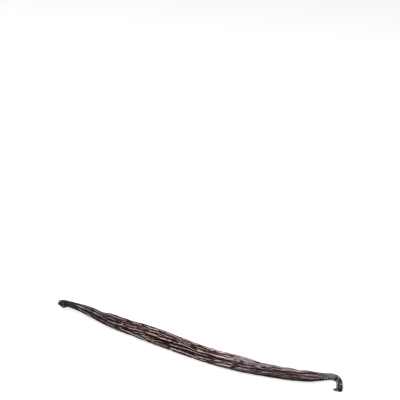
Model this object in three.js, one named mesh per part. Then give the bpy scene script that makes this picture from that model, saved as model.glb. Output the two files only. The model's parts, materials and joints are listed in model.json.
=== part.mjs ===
// A cured vanilla pod, lying on its side. Millimetres, +Z up, +X towards the hooked stalk end.
//
// The pod is one solid. A lathe turns its outline about a straight axis, from the bottom of the
// hollow in the blossom end, over the rim and along the skin, to the broken end of the stalk.
// Each point of the lathe is then carried onto the bent centre line, where the section is
// flattened and folded, and whatever would sink below the table is pressed flat.

import * as THREE from "three";

// ---------------------------------------------------------------- driving dimensions

const POD_LENGTH = 167; // along the bent centre line, from the longest lobe of the rim
const RIM_AT = 1.2; // where the middle of the slanting rim lies on that line
const SEGMENTS_AROUND = 60;

// Half the width across the ridges, at distances along the centre line.
const HALF_WIDTHS = [
  [RIM_AT, 2.05], // flared rim
  [5.2, 1.55], // neck
  [24, 2.75],
  [35, 4.12],
  [46, 4.3],
  [54, 4.72],
  [68, 4.8], // widest place
  [92, 4.45],
  [110, 4.5],
  [122, 3.67],
  [133, 3.47],
  [141, 2.9],
  [153, 1.5], // stalk
  [160, 1.35], // hook
];

// The body is pressed flatter than it is wide, and the two ends are nearly round.
const FLATTENING = 0.22;
const FLATTENING_STARTS = [8, 38];
const FLATTENING_ENDS = [130, 154];

// Bends of the centre line seen from above, with left turns positive.
const START_HEADING_DEG = 34;
const BENDS = [
  { from: 0, to: 8, turn: -39.5 }, // the flared tip
  { from: 76, to: 132, turn: 17.5 },
  { from: 134, to: 152.5, turn: 30.5 },
  { from: 151.5, to: 161.5, turn: -109 }, // the hook
];

// How far the pod is held off the table.
const PRESSED_FLAT = 0.3; // the resting strip is worn this deep into the round underside
const NECK_LIFT = 2.7;
const NECK_LIFT_ENDS = [6, 40];
const MOUTH_DROOP = 0.8;
const MOUTH_DROOP_LENGTH = 5;
const STALK_LIFT = 0.4;
const STALK_LIFT_RISES = [118, 146];
const STALK_LIFT_FALLS = [148, 166];

// Longitudinal folds of the skin.
const COARSE_FOLDS = 7;
const FINE_FOLDS = 12;
const FINE_SHARE = 0.6;
const FOLD_DEPTH = 0.11; // as a share of the half width
const FOLD_TWIST_DEG = 40; // how far the folds wind round the pod over its length
const FOLD_SWAY = 0.5; // radians
const FOLD_SWAY_LENGTH = 17;
const FOLDS_START = [3, 14];
const FOLDS_END = [148, 160];
const UNDERSIDE = -0.95; // sine of the angle below which the skin is smooth
const UNDERSIDE_BLEND = 0.3;

// Blossom end: a hollow with a thick, slanting, three-lobed rim.
const HOLLOW_DEPTH = 1.6;
const HOLLOW_SHARE = 0.7; // of the rim's outer radius
const HOLLOW_STEPS = 4;
const RIM_BULGE = 0.2;
const RIM_LOBES = 3;
const RIM_LOBE_SHARE = 0.14;
const RIM_LOBE_ANGLE = THREE.MathUtils.degToRad(15);
const RIM_SLANT = 1.9; // the near side is set back, and the far side stands out
const RIM_SLANT_ANGLE = THREE.MathUtils.degToRad(182);
const RIM_LENGTH = 4;

// Stalk end: a rounded break with one thorn-like lip on the inside of the hook.
const BREAK_DOME = 0.9;
const BREAK_STEPS = 3;
const LIP_HEIGHT = 2.7; // before the dome tapers it
const LIP_ANGLE = Math.PI;
const LIP_SHARPNESS = 12;
const LIP_STARTS = 0.9; // before the end of the pod
const LIP_FULL = 0.2;

// Spacing of the rings of points along the skin.
const RIM_SPACING = 1.2;
const BODY_SPACING = 3;
const HOOK_SPACING = 0.8;
const HOOK_START = 147;

const SPINE_STEP = 0.25;

// ---------------------------------------------------------------- rules of the shape

const smooth = THREE.MathUtils.smoothstep;

function halfWidth(distance) {
  let width = HALF_WIDTHS[0][1];
  for (let i = 1; i < HALF_WIDTHS.length; i++) {
    const [from, before] = HALF_WIDTHS[i - 1];
    const [to, after] = HALF_WIDTHS[i];
    width += (after - before) * smooth(distance, from, to);
  }
  return width;
}

// Height of the section as a share of its width.
function roundness(distance) {
  const body = smooth(distance, ...FLATTENING_STARTS) * (1 - smooth(distance, ...FLATTENING_ENDS));
  return 1 - FLATTENING * body;
}

function heading(distance) {
  let degrees = START_HEADING_DEG;
  for (const bend of BENDS) {
    degrees += bend.turn * smooth(distance, bend.from, bend.to);
  }
  return THREE.MathUtils.degToRad(degrees);
}

function centreHeight(distance) {
  const neck = NECK_LIFT * (1 - smooth(distance, ...NECK_LIFT_ENDS));
  const mouth = MOUTH_DROOP * (1 - smooth(distance, 0, MOUTH_DROOP_LENGTH));
  const rise = smooth(distance, ...STALK_LIFT_RISES);
  const fall = smooth(distance, ...STALK_LIFT_FALLS);
  const resting = halfWidth(distance) * roundness(distance) - PRESSED_FLAT;
  return resting + neck - mouth + STALK_LIFT * rise * (1 - fall);
}

function climb(distance) {
  return (centreHeight(distance + SPINE_STEP) - centreHeight(distance - SPINE_STEP)) / (2 * SPINE_STEP);
}

// Direction in which the centre line runs.
function tangent(distance) {
  const rise = climb(distance);
  const along = Math.sqrt(1 - rise * rise);
  const angle = heading(distance);
  return new THREE.Vector3(Math.cos(angle) * along, Math.sin(angle) * along, rise);
}

// The centre line, as a curve whose parameter is the distance from the blossom end.
class Spine extends THREE.Curve {
  constructor() {
    super();
    this.points = [new THREE.Vector3(0, 0, centreHeight(0))];
    for (let at = SPINE_STEP; at <= POD_LENGTH; at += SPINE_STEP) {
      const step = tangent(at - SPINE_STEP / 2).multiplyScalar(SPINE_STEP);
      this.points.push(this.points.at(-1).clone().add(step));
    }
  }

  getPoint(distance, target = new THREE.Vector3()) {
    const place = THREE.MathUtils.clamp(distance, 0, POD_LENGTH) / SPINE_STEP;
    const index = Math.min(Math.floor(place), this.points.length - 2);
    target.lerpVectors(this.points[index], this.points[index + 1], place - index);
    const beyond = distance - THREE.MathUtils.clamp(distance, 0, POD_LENGTH);
    return target.addScaledVector(tangent(distance), beyond);
  }
}

// How deep the skin is folded in at an angle round the section, from 0 on a ridge to 1.
function foldAt(angle, distance) {
  const twist = THREE.MathUtils.degToRad(FOLD_TWIST_DEG) * (distance / POD_LENGTH);
  const sway = FOLD_SWAY * Math.sin(distance / FOLD_SWAY_LENGTH);
  const coarse = 0.5 - 0.5 * Math.cos(COARSE_FOLDS * (angle + twist) - sway);
  const fine = 0.5 - 0.5 * Math.cos(FINE_FOLDS * (angle + twist) + 2 * sway);
  const folded = FINE_SHARE * fine + (1 - FINE_SHARE) * coarse;
  const body = smooth(distance, ...FOLDS_START) * (1 - smooth(distance, ...FOLDS_END));
  return folded * body * smooth(Math.sin(angle), UNDERSIDE, UNDERSIDE + UNDERSIDE_BLEND);
}

function nearRim(distance) {
  return 1 - smooth(distance, RIM_AT, RIM_AT + RIM_LENGTH);
}

// Everything that makes the section other than round, as a factor on the radius.
function unevenness(angle, distance) {
  const lobed = Math.cos(RIM_LOBES * (angle - RIM_LOBE_ANGLE));
  const lobes = RIM_LOBE_SHARE * lobed * nearRim(distance);
  const nearBreak = smooth(distance, POD_LENGTH - LIP_STARTS, POD_LENGTH - LIP_FULL);
  const facing = Math.max(0, Math.cos(angle - LIP_ANGLE));
  const lip = (LIP_HEIGHT / halfWidth(distance)) * nearBreak * Math.pow(facing, LIP_SHARPNESS);
  return 1 - FOLD_DEPTH * foldAt(angle, distance) + lobes + lip;
}

function slant(angle, distance) {
  return RIM_SLANT * Math.cos(angle - RIM_SLANT_ANGLE) * nearRim(distance);
}

// ---------------------------------------------------------------- building the solid

// Distances of the rings of points along the skin.
function skinStations() {
  const stations = [];
  let at = RIM_AT + RIM_SPACING / 2;
  while (at < POD_LENGTH - BREAK_DOME - HOOK_SPACING / 2) {
    stations.push(at);
    if (at < RIM_AT + RIM_LENGTH) {
      at += RIM_SPACING;
    } else if (at < HOOK_START) {
      at += BODY_SPACING;
    } else {
      at += HOOK_SPACING;
    }
  }
  return stations;
}

// Outline of the straight pod, radius against distance, starting and ending on the axis.
function outline() {
  const points = [];
  const rim = halfWidth(RIM_AT);
  for (let i = 0; i <= HOLLOW_STEPS; i++) {
    const turn = (Math.PI / 2) * (i / HOLLOW_STEPS);
    const at = RIM_AT + HOLLOW_DEPTH * Math.cos(turn);
    points.push(new THREE.Vector2(HOLLOW_SHARE * rim * Math.sin(turn), at));
  }
  points.push(new THREE.Vector2((rim * (1 + HOLLOW_SHARE)) / 2, RIM_AT - RIM_BULGE));
  points.push(new THREE.Vector2(rim, RIM_AT));
  for (const at of skinStations()) {
    points.push(new THREE.Vector2(halfWidth(at), at));
  }
  for (let i = 0; i <= BREAK_STEPS; i++) {
    const turn = (Math.PI / 2) * (i / BREAK_STEPS);
    const at = POD_LENGTH - BREAK_DOME + BREAK_DOME * Math.sin(turn);
    points.push(new THREE.Vector2(halfWidth(at) * Math.cos(turn), at));
  }
  points[0].x = 0;
  points.at(-1).x = 0;
  return points;
}

// Carries one point of the lathe, whose axis is Y, onto the bent centre line.
function bend(point, spine) {
  const radius = Math.hypot(point.x, point.z);
  const angle = radius > 0 ? Math.atan2(point.x, point.z) : 0;
  const straight = point.y;
  const reach = radius * unevenness(angle, straight);
  const distance = straight + slant(angle, straight) * Math.min(1, radius / halfWidth(RIM_AT));
  const forward = tangent(distance);
  const side = new THREE.Vector3(0, 0, 1).cross(forward).normalize();
  const up = forward.clone().cross(side);
  spine.getPoint(distance, point);
  point.addScaledVector(side, reach * Math.cos(angle));
  point.addScaledVector(up, reach * Math.sin(angle) * roundness(distance));
  point.z = Math.max(0, point.z);
}

function podGeometry() {
  const geometry = new THREE.LatheGeometry(outline(), SEGMENTS_AROUND);
  const positions = geometry.getAttribute("position");
  const spine = new Spine();
  const point = new THREE.Vector3();
  for (let i = 0; i < positions.count; i++) {
    point.fromBufferAttribute(positions, i);
    bend(point, spine);
    positions.setXYZ(i, point.x, point.y, point.z);
  }
  geometry.computeBoundingBox();
  const middle = geometry.boundingBox.getCenter(new THREE.Vector3());
  geometry.translate(-middle.x, -middle.y, 0);
  geometry.computeVertexNormals();
  return geometry;
}

const skin = new THREE.MeshStandardMaterial({ color: 0x3a2626, roughness: 0.45, metalness: 0 });

const pod = new THREE.Mesh(podGeometry(), skin);
pod.name = "pod";

const part = new THREE.Group();
part.add(pod);

export default part;
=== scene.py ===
# %% [markdown]
# # A cured vanilla pod
#
# A vanilla pod is the long fruit of an orchid. Curing it, by scalding, sweating and slow drying, turns
# it nearly black and shrinks it, so that its skin falls into lengthwise ridges. One end keeps the
# flared, hollow scar of the flower. The other ends in the stalk, which dries into a hook.
#
# The frame of the part is loaded first. It holds one plain solid of the pod, which the physics uses.
# The file then builds a finely wrinkled skin in the same place and gives it its oily finish.

# %% Load the frame
import json
import math

import bpy
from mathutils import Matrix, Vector

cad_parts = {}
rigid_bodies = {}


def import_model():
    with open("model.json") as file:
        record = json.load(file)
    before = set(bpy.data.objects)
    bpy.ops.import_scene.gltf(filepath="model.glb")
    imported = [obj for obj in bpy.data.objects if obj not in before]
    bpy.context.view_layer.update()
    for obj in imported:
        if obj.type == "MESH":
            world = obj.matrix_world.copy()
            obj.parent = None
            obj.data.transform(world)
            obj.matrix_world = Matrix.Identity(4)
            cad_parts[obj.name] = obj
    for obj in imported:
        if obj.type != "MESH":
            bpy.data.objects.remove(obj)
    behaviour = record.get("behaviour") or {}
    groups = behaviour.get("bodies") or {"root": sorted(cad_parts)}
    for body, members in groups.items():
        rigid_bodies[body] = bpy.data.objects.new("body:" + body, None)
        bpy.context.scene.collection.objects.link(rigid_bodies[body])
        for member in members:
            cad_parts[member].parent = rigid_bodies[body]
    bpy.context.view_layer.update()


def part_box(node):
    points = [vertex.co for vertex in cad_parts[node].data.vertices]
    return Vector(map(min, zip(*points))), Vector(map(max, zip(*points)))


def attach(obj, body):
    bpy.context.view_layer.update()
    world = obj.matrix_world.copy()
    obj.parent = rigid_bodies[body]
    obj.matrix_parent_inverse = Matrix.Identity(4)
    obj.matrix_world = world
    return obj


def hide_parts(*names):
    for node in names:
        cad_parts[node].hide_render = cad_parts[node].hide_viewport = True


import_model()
MM = 0.001

# %% [markdown]
# ## Camera
#
# A pod is long and thin, so a long lens from about three pod lengths away keeps its two ends in
# proportion. The camera looks down at the table and across the pod, which then runs from far on the
# left to near on the right. It is made first, so that everything after it can be looked at.

# %% Camera
CAMERA_AZIMUTH = math.radians(30)
CAMERA_PITCH = math.radians(22.4)
CAMERA_PLACE = Vector((241.8, -408.2, 274.0)) * MM
CAMERA_LENS = 100.0
SENSOR_WIDTH = 36.0
NEAREST_IN_VIEW = 10.0 * MM

lens = bpy.data.cameras.new("camera")
lens.lens = CAMERA_LENS
lens.sensor_width = SENSOR_WIDTH
lens.clip_start = NEAREST_IN_VIEW
camera = bpy.data.objects.new("camera", lens)
camera.location = CAMERA_PLACE
camera.rotation_euler = (math.pi / 2 - CAMERA_PITCH, 0, CAMERA_AZIMUTH)
bpy.context.scene.collection.objects.link(camera)
bpy.context.scene.camera = camera
print("camera", round(CAMERA_PLACE.length, 3), "m from the middle of the pod")

# %% [markdown]
# ## Expressions for nodes
#
# Both the skin's shape and its finish are worked out by nodes, and most of those are plain arithmetic.
# Wiring each Math node by hand hides the sum that it does. Here a small class wraps a socket and
# overloads the operators, so that `1 - mask * depth` adds its Math nodes and reads as the sum itself.
# Every other node comes from one method, which sets the node's settings before it fills its sockets,
# because some settings decide which sockets there are.

# %% Wires


class Wire:
    """An output socket that can stand in an expression."""

    def __init__(self, wiring, socket):
        self.wiring = wiring
        self.socket = socket

    def __add__(self, other):
        return self.wiring.math("ADD", self, other)

    def __radd__(self, other):
        return self.wiring.math("ADD", other, self)

    def __sub__(self, other):
        return self.wiring.math("SUBTRACT", self, other)

    def __rsub__(self, other):
        return self.wiring.math("SUBTRACT", other, self)

    def __mul__(self, other):
        return self.wiring.math("MULTIPLY", self, other)

    def __rmul__(self, other):
        return self.wiring.math("MULTIPLY", other, self)

    def __truediv__(self, other):
        return self.wiring.math("DIVIDE", self, other)

    def __rtruediv__(self, other):
        return self.wiring.math("DIVIDE", other, self)

    def __pow__(self, other):
        return self.wiring.math("POWER", self, other)

    def __rpow__(self, other):
        return self.wiring.math("POWER", other, self)


# %% [markdown]
# ### Nodes by name
#
# The second class adds nodes to one tree. Its methods are the few shapes of curve that a grown surface
# needs: a straight ramp, a soft step up or down, a stretch with a soft step at both its ends, and a
# wave. Nearly everything below is a sum or a product of these.

# %% Wiring


class Wiring:
    """Adds nodes to one node tree."""

    def __init__(self, tree):
        self.tree = tree

    def add(self, kind, settings=None, inputs=None, output=0):
        """A node of that kind. Sockets are picked by place, or by name among those in use."""
        node = self.tree.nodes.new(kind)
        for name, value in (settings or {}).items():
            setattr(node, name, value)
        for key, value in (inputs or {}).items():
            socket = self.pick(node.inputs, key)
            if isinstance(value, Wire):
                self.tree.links.new(value.socket, socket)
            else:
                socket.default_value = value
        return Wire(self, self.pick(node.outputs, output))

    def pick(self, sockets, key):
        if isinstance(key, int):
            return sockets[key]
        return next(s for s in sockets if s.name == key and s.enabled)

    def also(self, wire, output):
        """Another output of the node that a wire comes from."""
        return Wire(self, self.pick(wire.socket.node.outputs, output))

    def math(self, operation, *values):
        return self.add("ShaderNodeMath", {"operation": operation}, dict(enumerate(values)))

    def vector(self, operation, *values):
        return self.add("ShaderNodeVectorMath", {"operation": operation}, dict(enumerate(values)))

    def sine(self, value):
        return self.math("SINE", value)

    def cosine(self, value):
        return self.math("COSINE", value)

    def most(self, value, other):
        return self.math("MAXIMUM", value, other)

    def wave(self, value):
        """0 at every whole turn and 1 half-way between two of them, with value in radians."""
        return 0.5 - self.cosine(value) * 0.5

    def between(self, manner, value, start, end, low, high):
        inputs = {"Value": value, "From Min": start, "From Max": end, "To Min": low, "To Max": high}
        return self.add("ShaderNodeMapRange", {"interpolation_type": manner}, inputs)

    def ramp(self, value, start, end, low=0.0, high=1.0):
        """Goes straight from low to high while value goes from start to end."""
        return self.between("LINEAR", value, start, end, low, high)

    def ease(self, value, start, end, low=0.0, high=1.0):
        """Goes smoothly from low to high while value goes from start to end."""
        return self.between("SMOOTHSTEP", value, start, end, low, high)

    def fade(self, value, start, end):
        """Goes smoothly from 1 to 0 while value goes from start to end."""
        return self.ease(value, start, end, 1.0, 0.0)

    def stretch(self, value, starts, is_full, fades, is_gone):
        """1 in a stretch of value and 0 outside it, with a soft step at both its ends."""
        return self.ease(value, starts, is_full) * self.fade(value, fades, is_gone)

    def point(self, x, y, z):
        return self.add("ShaderNodeCombineXYZ", None, {0: x, 1: y, 2: z})

    def scaled(self, vector, factor):
        inputs = {"Vector": vector, "Scale": factor}
        return self.add("ShaderNodeVectorMath", {"operation": "SCALE"}, inputs)

    def blend(self, factor, first, second):
        """A colour that goes from the first to the second while factor goes from 0 to 1."""
        inputs = {"Factor": factor, "A": first, "B": second}
        return self.add("ShaderNodeMix", {"data_type": "RGBA"}, inputs, "Result")


# %% [markdown]
# ## The pod's measures
#
# All of these are real sizes in millimetres. Distances run along the bent centre line from near the tip
# of the blossom end's longest lobe, so the slanting rim has its middle a little way in. The girth is a
# short list of stations, with a smooth step between each two, and the bends are smooth turns between
# two distances. Few numbers are needed, because a grown thing changes slowly.

# %% Measures
POD_LENGTH = 167.0
RIM_AT = 1.2
HALF_WIDTHS = (
    (RIM_AT, 2.05),  # flared rim
    (5.2, 1.55),  # neck
    (24.0, 2.75),
    (35.0, 4.12),
    (46.0, 4.3),
    (54.0, 4.72),
    (68.0, 4.8),  # widest place
    (92.0, 4.45),
    (110.0, 4.5),
    (122.0, 3.67),
    (133.0, 3.47),
    (141.0, 2.9),
    (153.0, 1.5),  # stalk
    (160.0, 1.35),  # hook
)
WIDEST = max(width for _, width in HALF_WIDTHS)
START_HEADING = math.radians(34)
BENDS = (
    (0.0, 8.0, math.radians(-39.5)),  # the flared tip
    (76.0, 132.0, math.radians(17.5)),
    (134.0, 152.5, math.radians(30.5)),
    (151.5, 161.5, math.radians(-109)),  # the hook
)
print("widest", 2 * WIDEST, "mm across,", len(BENDS), "bends")

# %% [markdown]
# ## Rules for the centre line and the section
#
# The same rules are needed in several places of the node tree, so each is a function that adds its
# nodes for any distance. The body is pressed a little flatter than it is wide. The neck is held off the
# table by the pod's own bend, and so is the start of the stalk, while the body and the hook's end rest.

# %% Rules along the pod
# Four distances are where a stretch starts, is full, starts to fade and has faded. Two are one step.
FLATTENED = (8.0, 38.0, 130.0, 154.0)
PRESSED = 0.3
NECK_LIFT = 2.7
NECK_LIFT_FADES = (6.0, 40.0)
MOUTH_DROOP = 0.8
MOUTH_DROOP_FADES = (0.0, 5.0)
STALK_LIFT = 0.4
STALK_LIFT_GROWS = (118.0, 146.0)
STALK_LIFT_FADES = (148.0, 166.0)


def half_width(on, distance):
    width = HALF_WIDTHS[0][1]
    for (start, before), (end, after) in zip(HALF_WIDTHS, HALF_WIDTHS[1:]):
        width += on.ease(distance, start, end, 0.0, after - before)
    return width


def roundness(on, distance, flattening):
    return 1.0 - on.stretch(distance, *FLATTENED) * flattening


def heading(on, distance):
    angle = START_HEADING
    for start, end, turn in BENDS:
        angle += on.ease(distance, start, end, 0.0, turn)
    return angle


def centre_height(on, distance, flattening):
    neck = on.ease(distance, *NECK_LIFT_FADES, NECK_LIFT, 0.0)
    droop = on.ease(distance, *MOUTH_DROOP_FADES, -MOUTH_DROOP, 0.0)
    stalk = on.ease(distance, *STALK_LIFT_GROWS, 0.0, STALK_LIFT) * on.fade(distance, *STALK_LIFT_FADES)
    resting = half_width(on, distance) * roundness(on, distance, flattening) - PRESSED
    return resting + neck + droop + stalk


# %% [markdown]
# ## The skin's node tree
#
# The skin follows a rule, so Geometry Nodes can make it: a flat grid, whose rows become rings along the
# pod and whose columns run from end to end, is rolled up round a centre line. The other way, a tube
# swept along a curve, has open ends, and the two ends are what makes this pod. Here the rows run out of
# the hollow of the blossom end and over its rim first, then along the skin, and close in a dome over
# the broken stalk, so that one grid is the whole closed surface. The tree's inputs are its sizes, in
# millimetres, apart from the flattening and the depth of the folds, which are shares of the girth.

# %% Start the tree
tree = bpy.data.node_groups.new("pod_skin_shape", "GeometryNodeTree")
shape = Wiring(tree)
SIZES = {
    "Spokes": ("NodeSocketInt", 240),
    "Spine points": ("NodeSocketInt", 668),
    "Flattening": ("NodeSocketFloat", 0.22),
    "Twist": ("NodeSocketFloat", math.radians(40)),
    "Fold depth": ("NodeSocketFloat", 0.08),
    "Ridge depth": ("NodeSocketFloat", 0.8),
    "Crease depth": ("NodeSocketFloat", 0.28),
    "Welt height": ("NodeSocketFloat", 0.16),
    "Bead height": ("NodeSocketFloat", 0.3),
}
for name, (kind, value) in SIZES.items():
    tree.interface.new_socket(name, in_out="INPUT", socket_type=kind).default_value = value
tree.interface.new_socket("Skin", in_out="OUTPUT", socket_type="NodeSocketGeometry")
given = tree.nodes.new("NodeGroupInput")
size = {name: Wire(shape, given.outputs[name]) for name in SIZES}
print("inputs of the tree:", ", ".join(size))

# %% [markdown]
# ### Centre line
#
# A heading that changes along the pod gives a curve only when it is summed up step by step. Accumulate
# Field does that sum: each point of a line adds its own short step, in its own direction, to all the
# steps before it. A step that climbs covers less ground, so the climb is taken off first.

# %% Centre line
step = POD_LENGTH / (SIZES["Spine points"][1] - 1)
line = shape.add("GeometryNodeCurvePrimitiveLine", None, {"End": (POD_LENGTH, 0.0, 0.0)})
inputs = {"Curve": line, "Count": size["Spine points"]}
line = shape.add("GeometryNodeResampleCurve", {"mode": "COUNT"}, inputs)
number = shape.add("GeometryNodeInputIndex")
travelled = number * step
height = centre_height(shape, travelled, size["Flattening"])
inputs = {"Index": number + 1, "Value": height}
next_height = shape.add("GeometryNodeFieldAtIndex", {"data_type": "FLOAT"}, inputs)
climb = (next_height - height) / step
ground = shape.math("SQRT", shape.most(1.0 - climb * climb, 0.0)) * step
bearing = heading(shape, travelled + step / 2)
stride = shape.point(shape.cosine(bearing) * ground, shape.sine(bearing) * ground, 0.0)
settings = {"data_type": "FLOAT_VECTOR"}
walked = shape.add("GeometryNodeAccumulateField", settings, {0: stride}, "Trailing")
spine_place = shape.vector("ADD", walked, shape.point(0.0, 0.0, height))
spine = shape.add("GeometryNodeSetPosition", None, {"Geometry": line, "Position": spine_place})
print("centre line of", SIZES["Spine points"][1], "points,", round(step, 3), "mm apart")

# %% [markdown]
# ### Rows and spokes
#
# Each stretch of the outline gets rows in proportion to how fast it turns: the hollow, the rim and the
# dome are tiny but curl right round, and the hook bends sharply. The rows are numbered from the middle
# of the hollow to the top of the dome, and each point of the grid reads its row and its angle from its
# place on the flat sheet.

# %% Rows
ROWS = (("hollow", 12), ("rim", 12), ("neck", 20), ("body", 274), ("hook", 82), ("dome", 10))

row_total = 0
rows_of = {}
for stretch, count in ROWS:
    rows_of[stretch] = (row_total, row_total + count)
    row_total += count

inputs = {
    "Size X": float(row_total),
    "Size Y": math.tau,
    "Vertices X": row_total + 1,
    "Vertices Y": size["Spokes"] + 1,
}
sheet = shape.add("GeometryNodeMeshGrid", None, inputs)
flat_place = shape.add("GeometryNodeInputPosition")
row = shape.add("ShaderNodeSeparateXYZ", None, {0: flat_place}, "X") + row_total / 2
angle = shape.add("ShaderNodeSeparateXYZ", None, {0: flat_place}, "Y")
print(row_total + 1, "rows by", SIZES["Spokes"][1], "spokes")

# %% [markdown]
# ### From the row to the distance
#
# The row's number says how far along each stretch it is. Curves of a quarter or half turn then give the
# distance along the pod and the share of the girth that the row has reached, so the hollow, the rim and
# the dome come out round.

# %% Distance and share of the girth
NECK_END = 8.0
HOOK_START = 144.0
DOME_DEPTH = 0.9
HOLLOW_DEPTH = 1.6
HOLLOW_SHARE = 0.7
RIM_BULGE = 0.2
SHADE_FADES_BEFORE = 3  # rows before the hollow's last
SHADE_GONE_BEFORE = 6  # rows before the rim's last

hollow_turn = shape.ramp(row, *rows_of["hollow"], 0.0, math.pi / 2)
rim_turn = shape.ramp(row, *rows_of["rim"], 0.0, math.pi)
dome_turn = shape.ramp(row, *rows_of["dome"], 0.0, math.pi / 2)
hollow_share = shape.sine(hollow_turn) * HOLLOW_SHARE
rim_share = shape.wave(rim_turn) * (1 - HOLLOW_SHARE)
share = (hollow_share + rim_share) * shape.cosine(dome_turn)
hollow = shape.cosine(hollow_turn) * HOLLOW_DEPTH - shape.sine(rim_turn) * RIM_BULGE
skin = (
    shape.ramp(row, *rows_of["neck"], 0.0, NECK_END - RIM_AT)
    + shape.ramp(row, *rows_of["body"], 0.0, HOOK_START - NECK_END)
    + shape.ramp(row, *rows_of["hook"], 0.0, POD_LENGTH - DOME_DEPTH - HOOK_START)
)
distance = hollow + skin + shape.sine(dome_turn) * DOME_DEPTH + RIM_AT
shade_fades = rows_of["hollow"][1] - SHADE_FADES_BEFORE
shade_gone = rows_of["rim"][1] - SHADE_GONE_BEFORE
# marks the hollow of the blossom end, where the finish paints shade
in_hollow = shape.ramp(row, shade_fades, shade_gone, 1.0, 0.0)
girth = half_width(shape, distance)
thickness = girth / WIDEST
print("hollow", HOLLOW_DEPTH, "mm deep, dome", DOME_DEPTH, "mm high")

# %% [markdown]
# ### A pattern that follows the pod
#
# Every wrinkle runs along the pod, bends with it and closes round it. Noise read at the real place of a
# point would do none of that. It is read instead on a straight cylinder, at the point's angle and its
# distance along the pod, and stretched along the cylinder, so that its lumps become strands. The two
# ends read it on discs inside the cylinder, because strands that met at a pole would make a star.

# %% Pattern on a straight cylinder
PATTERN_RADIUS = 4.4
turned = angle + distance * (1 / POD_LENGTH) * size["Twist"]
pattern_reach = share * PATTERN_RADIUS
round_x = shape.cosine(turned) * pattern_reach
round_y = shape.sine(turned) * pattern_reach
straight_place = shape.point(round_x, round_y, distance)


def noise(width, length, detail=1.0, seed=0.0):
    """Soft noise from 0 to 1, in lumps of that width round the pod and that length along it."""
    cell = shape.point(round_x / width, round_y / width, distance / length)
    inputs = {"Vector": shape.vector("ADD", cell, (seed, seed, seed)), "Scale": 1.0, "Detail": detail}
    return shape.add("ShaderNodeTexNoise", {"noise_dimensions": "3D"}, inputs)


# %% [markdown]
# ### Furrows that wander
#
# A cosine of the angle, pushed about by noise, makes furrows that wander but never end. Two such sets
# with different counts take turns by a third noise, and run on a little into one another, so that the
# ridges between them split, merge and end. Finer lines lie where soft noise passes its middle value.

# %% Furrows and lines
DRIFT_LUMP = (9.0, 26.0)
DRIFT = 1.1  # radians round the pod
WOBBLE_LUMP = (3.0, 5.0)
WOBBLE = 0.25
WOBBLE_SEED = 9.0
RUN_ON = 0.01
LINE_HALF_WIDTH = 0.09


def furrows(count, seed):
    """1 at the bottom of that many furrows round the pod and 0 on the crests between them."""
    drift = (noise(*DRIFT_LUMP, detail=0.0, seed=seed) - 0.5) * DRIFT
    wobble = (noise(*WOBBLE_LUMP, detail=0.0, seed=seed + WOBBLE_SEED) - 0.5) * WOBBLE
    return shape.wave((turned + drift + wobble) * count)


def taking_turns(first, second, turn):
    """The first set of furrows where turn is under a half, and the second where it is over."""
    going = first * shape.fade(turn, 0.5, 0.5 + RUN_ON)
    coming = second * shape.ease(turn, 0.5 - RUN_ON, 0.5)
    return shape.most(going, coming)


def lines(width, length, seed):
    """1 along thin wandering lines and 0 between them."""
    away = shape.math("ABSOLUTE", noise(width, length, seed=seed) - 0.5)
    return shape.fade(away, 0.0, LINE_HALF_WIDTH)


# %% [markdown]
# ### Folds, ridges, creases and welts
#
# Drying shrinks the flesh more than the skin, so the skin buckles lengthwise: a few broad folds, and on
# them narrow ridges. The thin ends have room for fewer ridges, and a set of their own takes over there.
# The half of the pod nearer the stalk dried plumper and smoother, so its furrows are shallower. Finer
# creases and raised welts lie between, each broken up by a second noise so that none runs on for long.

# %% Folds and ridges
FOLDS = 7
FOLD_SWAY = 0.2
FOLD_SWAY_LENGTH = 17.0
WIDE_FURROWS = 16
NARROW_FURROWS = 21
END_FURROWS = 11
BLOSSOM_END_FADES = (24.0, 44.0)
STALK_END_STARTS = (132.0, 146.0)
CALM_STARTS = (94.0, 112.0)
CALMER_FURROWS = 0.42
UNEVEN_DEPTHS = (0.65, 1.2)

sway = shape.sine(distance / FOLD_SWAY_LENGTH) * FOLD_SWAY
folded = shape.wave(turned * FOLDS - sway)
wide = furrows(WIDE_FURROWS, seed=3.0)
narrow = furrows(NARROW_FURROWS, seed=21.0)
on_body = taking_turns(wide, narrow, noise(3.5, 13.0, seed=35.0))
at_ends = shape.fade(distance, *BLOSSOM_END_FADES) + shape.ease(distance, *STALK_END_STARTS)
calm = shape.ease(distance, *CALM_STARTS)
wandering_furrow = taking_turns(on_body, furrows(END_FURROWS, seed=44.0), at_ends)
wandering_furrow = wandering_furrow * (1.0 - calm * CALMER_FURROWS)
crease = lines(1.5, 11.0, seed=51.0) * shape.ease(noise(1.2, 5.0, seed=57.0), 0.38, 0.5)
welt = lines(1.6, 13.0, seed=71.0) * shape.ease(noise(1.2, 4.0, seed=77.0), 0.42, 0.54)
unevenly = shape.ramp(noise(3.0, 11.0, seed=40.0), 0.32, 0.68, *UNEVEN_DEPTHS)
print("ridges round the body:", NARROW_FURROWS, "and", WIDE_FURROWS, "in turn, at the ends:", END_FURROWS)

# %% [markdown]
# ### Long ridges
#
# A few ridges keep their place for several centimetres, such as the seams where a ripe pod would split,
# and have a deep furrow on each side. Where the skin is smoother, some furrows run as far. Each is a
# strand at an angle that winds and sways a little. A high power of a cosine picks it out, and the power
# grows with the square of the girth, so that a strand is equally wide in millimetres everywhere. Two
# strands of different width give the ridge and the strip that is cleared for it.

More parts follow.
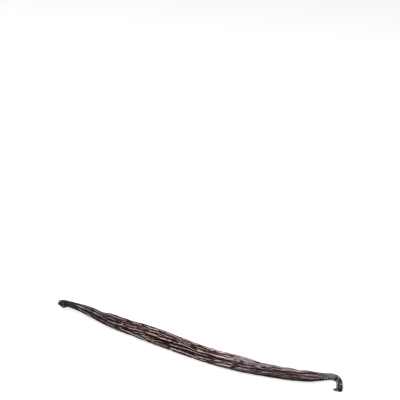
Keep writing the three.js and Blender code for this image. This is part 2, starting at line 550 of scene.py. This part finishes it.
# %% Long ridges
LONG_RIDGES = (  # angle in degrees where it starts, degrees it winds per mm, where it starts and ends
    (94.0, -0.5, 11.0, 34.0),
    (122.0, 0.2, 8.0, 25.0),
    (164.0, 1.6, 10.0, 26.0),
    (84.0, 0.0, 26.0, 106.0),
    (158.0, 1.4, 36.0, 72.0),
    (184.0, 0.2, 66.0, 100.0),
    (186.0, -0.5, 95.0, 116.0),
    (166.0, 0.2, 114.0, 130.0),
    (134.0, 0.1, 137.0, 151.0),
    (172.0, 0.1, 138.0, 150.0),
)
LONG_FURROWS = (
    (140.0, 0.2, 92.0, 117.0),
    (128.0, 0.1, 124.0, 138.0),
)
RIDGE_NARROWNESS = 140.0
CLEARED_NARROWNESS = 45.0
FURROW_NARROWNESS = 300.0
STRAND_FADE = 5.0
STRAND_SWAY = math.radians(40)
SIDE_FURROW_EASES = (128.0, 140.0)
SIDE_FURROW_DEPTHS = (0.9, 0.6)
strand_sway = (noise(5.0, 13.0, seed=91.0) - 0.5) * STRAND_SWAY


def strands(table, narrowness):
    """1 along every strand of a table, and 0 between them, with the same width in mm everywhere."""
    found = 0.0
    for middle, winding, start, end in table:
        centre = (distance - start) * math.radians(winding) + math.radians(middle) + strand_sway
        facing = shape.most(shape.cosine(angle - centre), 0.0) ** (thickness * thickness * narrowness)
        there = shape.stretch(distance, start, start + STRAND_FADE, end - STRAND_FADE, end)
        found = shape.most(facing * there, found)
    return found


long_ridge = strands(LONG_RIDGES, RIDGE_NARROWNESS)
cleared = strands(LONG_RIDGES, CLEARED_NARROWNESS)
side_depth = shape.ease(distance, *SIDE_FURROW_EASES, *SIDE_FURROW_DEPTHS)
beside = shape.ramp(cleared * (1.0 - long_ridge), 0.05, 0.5) * side_depth
ridge_furrow = shape.most(wandering_furrow * (1.0 - cleared), beside)
ridge_furrow = shape.most(ridge_furrow, strands(LONG_FURROWS, FURROW_NARROWNESS))
print(len(LONG_RIDGES), "long ridges and", len(LONG_FURROWS), "long furrows")

# %% [markdown]
# ### Beads and scabs
#
# Where the stalk starts to bend, the skin on its near side is squeezed endways and rises in a row of
# small, uneven beads over a deep crease. Past it the stalk is smooth, and the hook is rough with scabs.

# %% Beads and scabs
BEADED = (147.0, 149.0, 153.5, 155.0)
BEAD_SPACING = 1.35
BEAD_ANGLE = 174
BEAD_NARROWNESS = 24.0
BEAD_SHIFT = 1.6
BEAD_SHARPNESS = 1.5
BEAD_HEIGHTS = (0.45, 1.0)
BEAD_GAP = 0.8
BEAD_CREASE_ANGLE = 191
BEAD_CREASE_NARROWNESS = 40.0
HOOK_STARTS = (155.5, 158.5)


def sector(middle, narrowness):
    """1 at that angle round the pod, falling to 0 on both sides of it."""
    return shape.most(shape.cosine(angle - math.radians(middle)), 0.0) ** narrowness


bead_stretch = shape.stretch(distance, *BEADED)
bead_row = sector(BEAD_ANGLE, BEAD_NARROWNESS) * bead_stretch
bead_shift = (noise(2.0, 1.6, seed=63.0) - 0.5) * BEAD_SHIFT
bead_wave = shape.wave((distance + bead_shift) * (math.tau / BEAD_SPACING)) ** BEAD_SHARPNESS
bead = bead_wave * bead_row * shape.ramp(noise(2.2, 1.4, seed=66.0), 0.35, 0.6, *BEAD_HEIGHTS)
bead_gap = (1.0 - bead_wave) * bead_row * BEAD_GAP
bead_crease = sector(BEAD_CREASE_ANGLE, BEAD_CREASE_NARROWNESS) * bead_stretch
on_hook = shape.ease(distance, *HOOK_STARTS)
scabs = noise(3.0, 1.0, detail=2.0, seed=15.0)
pits = shape.ramp(scabs, 0.4, 0.52, 0.9, 0.0) * on_hook
scab = shape.ramp(scabs, 0.53, 0.64, 0.0, 1.0) * on_hook

# %% [markdown]
# ### Furrows and crests together
#
# The furrows and the crests of all kinds come together here, and those of the ridges give out on the
# stalk. The two aren't opposites: the flank of a ridge is neither, and keeps the skin's plain colour.

# %% Furrows and crests
SMOOTH_STALK_STARTS = (146.0, 150.0)
LEFT_ON_STALK = 0.25
CREST_GROWS = (18.0, 46.0)
CREST_SHARES = (0.2, 0.7)
CALMER_CRESTS = 0.45
WELT_GROWS = (8.0, 32.0)
WELT_SHARES = (0.3, 1.0)
CALMER_WELTS = 0.5
UNEVEN_WEAR_AND_HIGHLIGHT = (0.5, 1.0)

ridges_left = shape.ease(distance, *SMOOTH_STALK_STARTS, 1.0, LEFT_ON_STALK) * (1.0 - on_hook)
furrow = ridge_furrow * (1.0 - bead_row) * ridges_left
furrow = shape.most(shape.most(furrow, bead_gap), shape.most(bead_crease, pits))
# the long ridges' crests take the worn colour, which is also lightened as painted highlight
worn_and_highlit_ridge = long_ridge * shape.ramp(noise(2.0, 5.0, seed=95.0), 0.4, 0.56, *UNEVEN_WEAR_AND_HIGHLIGHT)
crest_share = shape.ease(distance, *CREST_GROWS, *CREST_SHARES) * (1.0 - calm * CALMER_CRESTS)
ridge_crest = shape.ramp(furrow, 0.02, 0.2, 1.0, 0.0) * crest_share
welt_crest = welt * shape.ease(distance, *WELT_GROWS, *WELT_SHARES) * (1.0 - calm * CALMER_WELTS)
ridge_crest = shape.most(ridge_crest, shape.most(welt_crest, worn_and_highlit_ridge))
crest = shape.most(ridge_crest * ridges_left, shape.most(bead, scab))

# %% [markdown]
# ### How deep each of them goes
#
# Everything is counted in millimetres inwards from the plain girth. The skin is first grown a little,
# because the furrows take away from it and the finished pod has to fill the plain solid's box. The
# depths shrink with the girth, so that the thin ends aren't cut through. Only the beads and the scabs,
# which stand on the thin ends themselves, keep their height.

# %% Depth of the whole pattern
GROWN = 0.3
RIDGE_SHARPNESS = 1.5
NECK_DEEPENS = (1.0, 12.0)
RIM_SHARE = 0.4
FOLDED = (3.0, 14.0, 148.0, 160.0)
SCAB_HEIGHT = 0.8
STRAND_DEPTH = 0.06
LUMP_DEPTH = 0.2

body = shape.ease(distance, *NECK_DEEPENS, RIM_SHARE, 1.0)
fold_in = folded * size["Fold depth"] * girth * shape.stretch(distance, *FOLDED)
ridge_in = furrow ** RIDGE_SHARPNESS * unevenly * size["Ridge depth"] * thickness * body
crease_in = crease * size["Crease depth"] * thickness * body
welt_in = (1.0 - welt) * size["Welt height"] * thickness * body
bead_in = bead * size["Bead height"] * -1.0
scab_in = (0.5 - scabs) * on_hook * SCAB_HEIGHT
strand_in = noise(0.4, 5.0, detail=2.0) * STRAND_DEPTH * thickness
lump_in = noise(3.5, 6.0, detail=2.0) * LUMP_DEPTH * thickness * body
smooth_in = fold_in + lump_in - (thickness * 0.5 + 0.5) * GROWN
inward = smooth_in + ridge_in + crease_in + welt_in + bead_in + scab_in + strand_in

# %% [markdown]
# ### The two ends
#
# The flower leaves a scar with three blunt lobes, cut on the slant, so the rim's radius waves three
# times round and one side of it stands further out. Noise frays its edge. The stalk was broken off,
# which tore up a thorn-like lip on the inside of the hook. A high power of a cosine picks out that
# narrow sector, as it does the lobe that is coloured paler.

# %% Ends
RIM_LOBES = 3
LOBE_HEIGHT = 0.14
RIM_LOBE_ANGLE = math.radians(15)
RIM_FADE = 4.0
RIM_SLANT = 1.9
RIM_SLANT_ANGLE = math.radians(182)
RAGGED_WIDTH = 0.3  # as a share of the girth
RAGGED_LENGTH = 2.4
PALE_LOBE_ANGLE = 40
PALE_LOBE_NARROWNESS = 6.0
PALE_LOBE_LENGTH = 1.2
LIP_ANGLE = 180
LIP_NARROWNESS = 12.0
LIP_HEIGHT = 2.7
LIP_GROWS = (POD_LENGTH - 0.9, POD_LENGTH - 0.2)

near_rim = shape.fade(distance, RIM_AT, RIM_AT + RIM_FADE)
near_break = shape.ease(distance, *LIP_GROWS)
ragged = noise(2.6, 1.3, detail=2.0, seed=5.0) - 0.5
lobed = shape.cosine((angle - RIM_LOBE_ANGLE) * RIM_LOBES)
lobes = (lobed * LOBE_HEIGHT + ragged * RAGGED_WIDTH) * near_rim
lip = sector(LIP_ANGLE, LIP_NARROWNESS) * near_break * (LIP_HEIGHT / HALF_WIDTHS[-1][1])
reach = share * (girth * (lobes + lip + 1.0) - inward)
cut = shape.cosine(angle - RIM_SLANT_ANGLE) * RIM_SLANT + ragged * RAGGED_LENGTH
close_to_rim = shape.fade(distance, RIM_AT, RIM_AT + PALE_LOBE_LENGTH)
pale_lobe = sector(PALE_LOBE_ANGLE, PALE_LOBE_NARROWNESS) * close_to_rim
placed = distance + cut * near_rim * share

# %% [markdown]
# ### Rolling the skin up
#
# Each point looks up the centre line at its own distance, and steps out from it sideways and upwards.
# The two directions come from cross products with the vertical and the line's own direction, so the
# section never rolls over. Whatever would sink below the table is pressed flat on it.

# %% Roll the skin up
NO_LIMIT = -1e6
TABLE_TOP = 0.0

inside = shape.add("ShaderNodeClamp", None, {"Value": placed, "Min": 0.0, "Max": POD_LENGTH})
inputs = {"Curves": spine, "Factor": inside / POD_LENGTH}
line_place = shape.add("GeometryNodeSampleCurve", {"mode": "FACTOR"}, inputs, "Position")
forward = shape.also(line_place, "Tangent")
line_place = shape.vector("ADD", line_place, shape.scaled(forward, placed - inside))
side = shape.vector("NORMALIZE", shape.vector("CROSS_PRODUCT", (0.0, 0.0, 1.0), forward))
up = shape.vector("CROSS_PRODUCT", forward, side)
sideways = shape.scaled(side, reach * shape.cosine(angle))
section_height = reach * shape.sine(angle) * roundness(shape, distance, size["Flattening"])
upwards = shape.scaled(up, section_height)
skin_place = shape.vector("ADD", shape.vector("ADD", line_place, sideways), upwards)
skin_place = shape.vector("MAXIMUM", skin_place, (NO_LIMIT, NO_LIMIT, TABLE_TOP))

# %% [markdown]
# ### Marks for the finish
#
# The finish has to know where the furrows, crests and ends are. The tree works all of that out anyway,
# so it stores it on the points, and the colours then stay on the ridges whatever their shape becomes.

# %% Marks
marks = (
    ("furrow", "FLOAT", shape.most(furrow, crease * ridges_left)),
    ("crest", "FLOAT", crest),
    ("distance", "FLOAT", distance),
    ("upper_side", "FLOAT", shape.sine(angle)),
    ("in_hollow", "FLOAT", in_hollow),
    ("pale_lobe", "FLOAT", pale_lobe),
    ("straight_place", "FLOAT_VECTOR", straight_place),
)
marked = sheet
for name, kind, value in marks:
    inputs = {"Geometry": marked, "Name": name, "Value": value}
    settings = {"data_type": kind, "domain": "POINT"}
    marked = shape.add("GeometryNodeStoreNamedAttribute", settings, inputs)
print("marks on the skin:", ", ".join(name for name, _, _ in marks))

# %% [markdown]
# ### Closing the surface
#
# Rolled up, the sheet's two long edges meet along the pod, and all the points of its first and last row
# fall on one spot each. Merging them closes the seam and the two poles. The sheet was rolled with its
# underside outwards, so its faces are flipped to look out.

# %% Close the surface
MERGE_WITHIN = 0.001 * MM
inputs = {"Geometry": marked, "Position": shape.scaled(skin_place, MM)}
rolled = shape.add("GeometryNodeSetPosition", None, inputs)
closed = shape.add("GeometryNodeMergeByDistance", None, {"Geometry": rolled, "Distance": MERGE_WITHIN})
outward = shape.add("GeometryNodeFlipFaces", None, {"Mesh": closed})
rounded = shape.add("GeometryNodeSetShadeSmooth", None, {"Geometry": outward})
print("nodes in the tree:", len(tree.nodes))

# %% [markdown]
# ## Finish of the skin
#
# Cured skin is dark brown, darker in its furrows and a dusty mauve on its crests, where handling has
# worn it. The colour also holds painted shade, which makes the furrows nearly black, and painted
# highlight, which lightens the crests. It is matt with an oily sheen that lies on the crests only. A
# single brown with bumps would look like leather, because on a pod the colour and the sheen both follow
# the ridges. So the colours are chosen by the marks stored above, and a thin coat, strong on the crests,
# is the oil.

# %% Marks and grain
finish = bpy.data.materials.new("cured_skin")
finish.use_nodes = True
paint = Wiring(finish.node_tree)
principled = finish.node_tree.nodes["Principled BSDF"]


def mark(name, output="Fac"):
    return paint.add("ShaderNodeAttribute", {"attribute_name": name}, None, output)


furrow_mark = mark("furrow")
crest_mark = mark("crest")
distance_mark = mark("distance")
upper_mark = mark("upper_side")
hollow_shade_mark = mark("in_hollow")
lobe_mark = mark("pale_lobe")
split_place = paint.add("ShaderNodeSeparateXYZ", None, {0: mark("straight_place", "Vector")}, "X")


def grain(size_round, size_along, detail=2.0):
    """Soft noise from 0 to 1 in grains of that size round the pod and along it, mm."""
    across = split_place / size_round
    above = paint.also(split_place, "Y") / size_round
    along = paint.also(split_place, "Z") / size_along
    inputs = {"Vector": paint.point(across, above, along), "Scale": 1.0, "Detail": detail}
    return paint.add("ShaderNodeTexNoise", None, inputs)


def washes(colour, *layers):
    """Lays colours over one another like washes of paint, each as strongly as its factor says."""
    for factor, layer in layers:
        colour = paint.blend(factor, colour, layer)
    return colour


# %% [markdown]
# ### Where the colours change
#
# The neck is charcoal, the body dark brown and then a paler brown, the stalk a mauve grey, and the hook
# is mottled. The upper side of the smoother half is lighter and greyer, a painted sheen, and before the
# stalk everything below the upper side is darker, a painted shade. Each of these is a soft step of the
# distance or of the height. Three grains break them up: short patches, cool stains, and bands that run
# along the pod.

# %% Stretches of colour
MOUTH_FADES = (9.0, 14.0)
NECK_FADES = (14.0, 48.0)
BARE_STARTS = (10.0, 18.0)
SHOULDER = (22.0, 28.0, 34.0, 42.0)
MIDDLE = (44.0, 54.0, 74.0, 86.0)
PALE_STARTS = (84.0, 100.0)
THICK_END = (96.0, 116.0, 128.0, 142.0)
LOWER_END = (114.0, 122.0, 138.0, 146.0)
STALK_STARTS = (140.0, 149.0)
BEADS_START = (146.0, 149.0)
DUST_STARTS = (150.5, 152.5)
DUST_FADES = (155.0, 157.0)
MOTTLES_START = (155.0, 158.5)

mouth = paint.fade(distance_mark, *MOUTH_FADES)
neck = paint.fade(distance_mark, *NECK_FADES)
bare = paint.ease(distance_mark, *BARE_STARTS) * neck
shoulder = paint.stretch(distance_mark, *SHOULDER)
middle = paint.stretch(distance_mark, *MIDDLE)
pale = paint.ease(distance_mark, *PALE_STARTS)
# painted sheen: the upper side of the smoother half is lighter and greyer
top_sheen = paint.stretch(distance_mark, *THICK_END) * paint.ease(upper_mark, 0.55, 0.9)
# painted shade: before the stalk, all but the upper side is darker
lower_shade = paint.stretch(distance_mark, *LOWER_END) * paint.ease(upper_mark, 0.55, 0.86, 0.9, 0.0)
stalk = paint.ease(distance_mark, *STALK_STARTS)
beaded = paint.ease(distance_mark, *BEADS_START)
dusty = paint.ease(distance_mark, *DUST_STARTS) * paint.ease(distance_mark, *DUST_FADES, 0.6, 0.0)
mottled = paint.ease(distance_mark, *MOTTLES_START)
patch = paint.ramp(grain(2.5, 7.0), 0.35, 0.65)
cool = paint.ramp(grain(4.0, 12.0, 1.0), 0.42, 0.58)
band = paint.ramp(grain(2.4, 30.0, 1.0), 0.38, 0.6)

# %% [markdown]
# ### Skin between the ridges
#
# Between the ridges the skin keeps the dark brown of the cure. It is warmer in the middle, where the
# pod swelled most, streaked with paler bands past it, and nearly black at the neck. The stretches are
# laid over one another like washes of paint, from the whole body to the hook. A pair of colours is
# mixed by one of the grains.

# %% Skin between the ridges
CURED_BROWN = ((0.027, 0.0105, 0.010, 1), (0.054, 0.0265, 0.0245, 1))
PALE_BANDS = ((0.035, 0.0165, 0.016, 1), (0.130, 0.096, 0.096, 1))
CHARCOAL = ((0.005, 0.004, 0.005, 1), (0.012, 0.0095, 0.012, 1))
STALK_SKIN = ((0.010, 0.0068, 0.0092, 1), (0.026, 0.020, 0.026, 1))
WARM_BROWN = (0.075, 0.040, 0.037, 1)
COOL_STAIN = (0.040, 0.0255, 0.031, 1)
# painted sheen on the upper side
GREY_TOP_SHEEN = (0.120, 0.102, 0.108, 1)
# painted shade below the upper side
LOWER_SHADE = (0.019, 0.009, 0.0088, 1)
DUST = (0.055, 0.048, 0.057, 1)
HOOK_SKIN = (0.0095, 0.007, 0.0084, 1)

skin_colour = washes(
    paint.blend(patch, *CURED_BROWN),
    (middle * 0.4, WARM_BROWN),
    (pale, paint.blend(band, *PALE_BANDS)),
    (cool * 0.5, COOL_STAIN),
    (neck, paint.blend(patch, *CHARCOAL)),
    # painted sheen on the upper side
    (top_sheen * 0.7, GREY_TOP_SHEEN),
    # painted shade below the upper side
    (lower_shade, LOWER_SHADE),
    (stalk, paint.blend(patch, *STALK_SKIN)),
    (dusty, DUST),
    (mottled, HOOK_SKIN),
)

# %% [markdown]
# ### Worn crests with painted highlight
#
# Rubbing and drying have worn the crests to a dusty mauve, and their colour is lightened further as a
# painted highlight. The same stretches are laid over one another here: the crests of the neck are
# greyer, and the tops of the beads are the palest, a painted glint.

# %% Worn crests and painted highlight
# crest colours: worn mauve, lightened as painted highlight
WORN_AND_HIGHLIT_MAUVE = ((0.118, 0.0735, 0.0705, 1), (0.184, 0.132, 0.128, 1))
PALE_MAUVE = ((0.180, 0.113, 0.110, 1), (0.280, 0.207, 0.205, 1))
WARM_CREST = (0.208, 0.147, 0.143, 1)
COOL_CREST = (0.200, 0.155, 0.170, 1)
NECK_CREST = (0.190, 0.170, 0.180, 1)
BARE_CREST = (0.140, 0.112, 0.118, 1)
# painted sheen on the crests of the upper side
TOP_SHEEN_CREST = (0.290, 0.262, 0.272, 1)
# painted shade on the crests below the upper side
LOWER_SHADE_CREST = (0.096, 0.058, 0.058, 1)
STALK_CREST = (0.165, 0.129, 0.147, 1)
# painted glint on the tops of the beads
BEAD_TOP_GLINT = (0.400, 0.345, 0.385, 1)
SCAB_TOP = (0.218, 0.199, 0.211, 1)

crest_wear_and_highlight_colour = washes(
    paint.blend(patch, *WORN_AND_HIGHLIT_MAUVE),
    (middle * 0.6, WARM_CREST),
    (pale, paint.blend(patch, *PALE_MAUVE)),
    (cool * 0.5, COOL_CREST),
    (neck, NECK_CREST),
    (bare, BARE_CREST),
    # painted sheen on the crests of the upper side
    (top_sheen * 0.7, TOP_SHEEN_CREST),
    # painted shade on the crests below the upper side
    (lower_shade, LOWER_SHADE_CREST),
    (stalk, STALK_CREST),
    # the beads' tops are the palest, a painted glint
    (beaded, BEAD_TOP_GLINT),
    (mottled, SCAB_TOP),
)

# %% [markdown]
# ### Colour of every point
#
# The stored marks choose between the two: worn and lightened by painted highlight on the crests, plain
# between them, and nearly black at the bottom of a furrow, partly its own dark and partly painted shade.
# The underside and the hollow are darkened the same way, as painted shade. The small things come last.
# These are painted glints on the scar of the flower and a paler lobe on it, a painted highlight on the
# upper side near the stalk, and the dark break of the stalk.

# %% Colour of every point
# nearly black: the furrows' own dark with painted shade, and painted shade on the underside and hollow
FURROW_DARK_AND_SHADE = ((0.0065, 0.0015, 0.0015, 1), (0.003, 0.0016, 0.0024, 1))
# painted glints on the scar of the flower
RIM_GLINT = (0.150, 0.142, 0.142, 1)
PALE_LOBE = (0.160, 0.152, 0.152, 1)
# painted highlight: a pale patch on the upper side near the stalk
TOP_HIGHLIGHT = (0.270, 0.254, 0.283, 1)
SPOTS_FADE = (1.6, 2.6)
TOP_HIGHLIGHT_STRETCH = (136.0, 139.5, 139.5, 142.5)
BROKEN_STALK = (0.011, 0.0085, 0.010, 1)
BREAK_STARTS = (POD_LENGTH - 1.4, POD_LENGTH - 0.7)

furrow_dark_and_shade = paint.blend(paint.most(neck, stalk), *FURROW_DARK_AND_SHADE)
# worn crests, lightened in colour as painted highlight; the oil coat below follows them too
crest_wear_and_highlight = crest_mark * paint.ramp(furrow_mark, 0.3, 0.5, 1.0, 0.0)
crest_wear_and_highlight = crest_wear_and_highlight * (1.0 - mouth * 0.7) * (1.0 - shoulder * 0.45)
# the furrows' bottoms go nearly black, partly their own dark and partly painted shade
deep = paint.ramp(furrow_mark, 0.38, 0.62)
# painted shade on the underside
underside_shade = paint.ease(upper_mark, -0.5, -0.05, 0.55, 0.0)
# painted glints: pale spots on the scar of the flower
rim_glints = paint.ramp(grain(2.0, 0.9), 0.56, 0.66) * paint.ease(distance_mark, *SPOTS_FADE, 0.6, 0.0)
# painted highlight on the very top near the stalk, weaker in the furrows
top_highlight = paint.stretch(distance_mark, *TOP_HIGHLIGHT_STRETCH) * paint.ease(upper_mark, 0.9, 0.98)
top_highlight_on_skin = top_highlight * paint.ease(furrow_mark, 0.2, 0.6, 0.8, 0.2)
broken = paint.ease(distance_mark, *BREAK_STARTS, 0.0, 0.75)
colour = washes(
    skin_colour,
    # worn crests, lightened as painted highlight
    (crest_wear_and_highlight, crest_wear_and_highlight_colour),
    (deep, furrow_dark_and_shade),
    (underside_shade, furrow_dark_and_shade),
    # painted shade in the hollow of the blossom end
    (hollow_shade_mark * 0.9, furrow_dark_and_shade),
    # painted glints on the scar of the flower
    (rim_glints, RIM_GLINT),
    (lobe_mark, PALE_LOBE),
    # painted highlight near the stalk
    (top_highlight_on_skin, TOP_HIGHLIGHT),
    (broken, BROKEN_STALK),
)
finish.node_tree.links.new(colour.socket, principled.inputs["Base Color"])

# %% [markdown]
# ### Sheen and grain
#
# The oil lies in a thin film on the crests, so the coat's weight follows them. The skin's own reflection
# is kept weak, because it would lay a grey veil over the furrows. Under the coat the skin is rough, and
# a little rougher in some patches. A fine bump adds the grain that is too small to model.

# %% Sheen and grain
OIL_ON_CRESTS = 0.65
OIL_ON_FLANKS = 0.03
OIL_ROUGHNESS = 0.28
SKIN_REFLECTION = 0.04
SKIN_ROUGHNESS = (0.36, 0.54)
GRAIN_STRENGTH = 0.5
GRAIN_DEPTH = 0.12 * MM

coat = crest_wear_and_highlight * OIL_ON_CRESTS + paint.ramp(furrow_mark, 0.1, 0.5, OIL_ON_FLANKS, 0.0)
finish.node_tree.links.new(coat.socket, principled.inputs["Coat Weight"])
principled.inputs["Coat Roughness"].default_value = OIL_ROUGHNESS
principled.inputs["Specular IOR Level"].default_value = SKIN_REFLECTION
roughness = paint.ramp(grain(0.8, 3.0), 0.3, 0.7, *SKIN_ROUGHNESS)
finish.node_tree.links.new(roughness.socket, principled.inputs["Roughness"])
fine_strands = grain(0.22, 2.4, 3.0)
pores = grain(0.5, 0.35)
relief = fine_strands * 0.6 + pores * 0.4
inputs = {"Strength": GRAIN_STRENGTH, "Distance": GRAIN_DEPTH, "Height": relief}
bump = paint.add("ShaderNodeBump", None, inputs, "Normal")
finish.node_tree.links.new(bump.socket, principled.inputs["Normal"])
print("nodes in the finish:", len(finish.node_tree.nodes))

# %% [markdown]
# ## The skin as a plain mesh
#
# The tree ends by realizing whatever is still an instance and by setting the finish. Evaluated once, it
# gives an ordinary mesh, and the modifier has no more use. The mesh is then slid sideways until the
# middle of its box is the middle of the plain solid's box, whose origin lies there.

# %% End the tree
realized = shape.add("GeometryNodeRealizeInstances", None, {"Geometry": rounded})
inputs = {"Geometry": realized, "Material": finish}
finished = shape.add("GeometryNodeSetMaterial", None, inputs)
outlet = tree.nodes.new("NodeGroupOutput")
tree.links.new(finished.socket, outlet.inputs["Skin"])

# %% Make the mesh
pod = bpy.data.objects.new("vanilla_pod", bpy.data.meshes.new("vanilla_pod"))
bpy.context.scene.collection.objects.link(pod)
rule = pod.modifiers.new("skin", "NODES")
rule.node_group = tree
for item in tree.interface.items_tree:
    if item.in_out == "INPUT":
        rule[item.identifier] = SIZES[item.name][1]
worked_out = pod.evaluated_get(bpy.context.evaluated_depsgraph_get())
mesh = bpy.data.meshes.new_from_object(worked_out)
pod.modifiers.clear()
pod.data = mesh

# %% Slide it into place
low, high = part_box("pod")
own = [[vertex.co[axis] for vertex in mesh.vertices] for axis in range(3)]
own_middle = Vector([(min(side) + max(side)) / 2 for side in own])
shift = (low + high) / 2 - own_middle
shift.z = 0.0
for vertex in mesh.vertices:
    vertex.co += shift
mesh.update()
print(len(mesh.polygons), "faces,", [round((max(side) - min(side)) / MM, 2) for side in own], "mm")

# %% Hand the mesh to the frame
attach(pod, "root")
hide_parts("pod")

# %% [markdown]
# ## Floor and light
#
# The pod lies on a light table, whose glowing white sheet drowns nearly all of the shadow and keeps
# the dark outline crisp. Three softboxes stand round it. A ridged skin sends a reflection on along the
# pod, so they run parallel to it, and the two in front stand out past its far end. The main one is
# nearly overhead, a weaker one lights the near side, and a small one behind brightens the upper side.

# %% Floor
WHITE = (1, 1, 1, 1)
SHEET_GREY = (0.16, 0.16, 0.16, 1)
SHEET_ROUGHNESS = 0.9
SHEET_GLOW = 0.72
FLOOR_REACH = 3.0
FLOOR_TOP = -0.05 * MM

floor_mesh = bpy.data.meshes.new("floor")
corners = ((-1, -1), (1, -1), (1, 1), (-1, 1))
points = [(x * FLOOR_REACH, y * FLOOR_REACH, FLOOR_TOP) for x, y in corners]
floor_mesh.from_pydata(points, [], [(0, 1, 2, 3)])
floor = bpy.data.objects.new("floor", floor_mesh)
bpy.context.scene.collection.objects.link(floor)
table_sheet = bpy.data.materials.new("floor")
table_sheet.use_nodes = True
sheet_look = table_sheet.node_tree.nodes["Principled BSDF"].inputs
sheet_look["Base Color"].default_value = SHEET_GREY
sheet_look["Roughness"].default_value = SHEET_ROUGHNESS
sheet_look["Emission Color"].default_value = WHITE
sheet_look["Emission Strength"].default_value = SHEET_GLOW
floor_mesh.materials.append(table_sheet)

# %% Room
ROOM_GLOW = 0.08

world = bpy.data.worlds.new("studio")
world.use_nodes = True
room_look = world.node_tree.nodes["Background"].inputs
room_look["Color"].default_value = WHITE
room_look["Strength"].default_value = ROOM_GLOW
bpy.context.scene.world = world
bpy.context.scene.view_settings.view_transform = "Standard"

# %% Lights
SOFTBOXES = (  # name, place in metres, length along the pod, depth, watts
    ("overhead_softbox", (-0.5, -0.36, 0.88), 1.2, 0.35, 31.0),
    ("front_softbox", (-0.3, -0.78, 0.52), 1.0, 0.3, 9.0),
    ("back_softbox", (0.3, 0.53, 0.79), 0.6, 0.28, 6.5),
)

for name, place, length, depth, watts in SOFTBOXES:
    panel = bpy.data.lights.new(name, "AREA")
    panel.shape = "RECTANGLE"
    panel.size = length
    panel.size_y = depth
    panel.energy = watts
    lamp = bpy.data.objects.new(name, panel)
    lamp.location = place
    tilt = math.atan2(-place[1], place[2])  # so that it faces the table's middle line
    lamp.rotation_euler = (tilt, 0, 0)
    bpy.context.scene.collection.objects.link(lamp)
print(len(SOFTBOXES), "softboxes")
